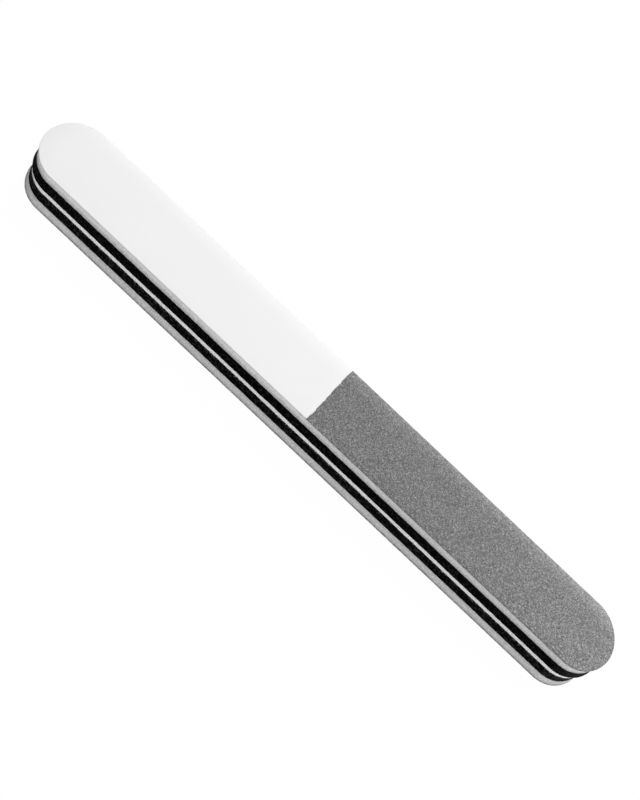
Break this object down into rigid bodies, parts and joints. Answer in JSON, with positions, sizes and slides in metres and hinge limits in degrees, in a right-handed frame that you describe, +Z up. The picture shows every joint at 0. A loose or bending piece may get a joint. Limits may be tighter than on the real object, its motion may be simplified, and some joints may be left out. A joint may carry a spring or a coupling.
{
  "type": "nail buffer",
  "caption": "Straight padded nail buffer with rounded ends: abrasive and polishing sheets on laminated foam with a stiff core board.",
  "frame": {"origin": "on the underside, under the middle of the stick's length and width", "axes": "+X along the stick towards its buffing end, +Z up through the layers from the filing side to the polishing and buffing side, +Y across the stick"},
  "size_m": [0.178, 0.019, 0.0138],
  "materials": {
    "filing_grit": "dark grey coated abrasive, medium grit",
    "buffing_grit": "grey coated abrasive, fine grit with light specks",
    "polishing_skin": "smooth white polishing layer, soft satin",
    "grey_foam": "light grey closed-cell EVA foam, die-cut edge",
    "black_foam": "black closed-cell EVA foam, die-cut edge",
    "board_plastic": "white extruded plastic board, cut edge",
    "clear_adhesive": "thin double-sided adhesive film"
  },
  "bodies": {
    "root": {"filing_sheet": "filing_grit", "filing_sheet_adhesive": "clear_adhesive", "lower_grey_foam": "grey_foam", "lower_foam_adhesive": "clear_adhesive", "lower_black_foam": "black_foam", "lower_core_adhesive": "clear_adhesive", "core_board": "board_plastic", "upper_core_adhesive": "clear_adhesive", "upper_black_foam": "black_foam", "upper_foam_adhesive": "clear_adhesive", "upper_grey_foam": "grey_foam", "polishing_sheet_adhesive": "clear_adhesive", "buffing_sheet_adhesive": "clear_adhesive", "polishing_sheet": "polishing_skin", "buffing_sheet": "buffing_grit"}
  },
  "joints": []
}
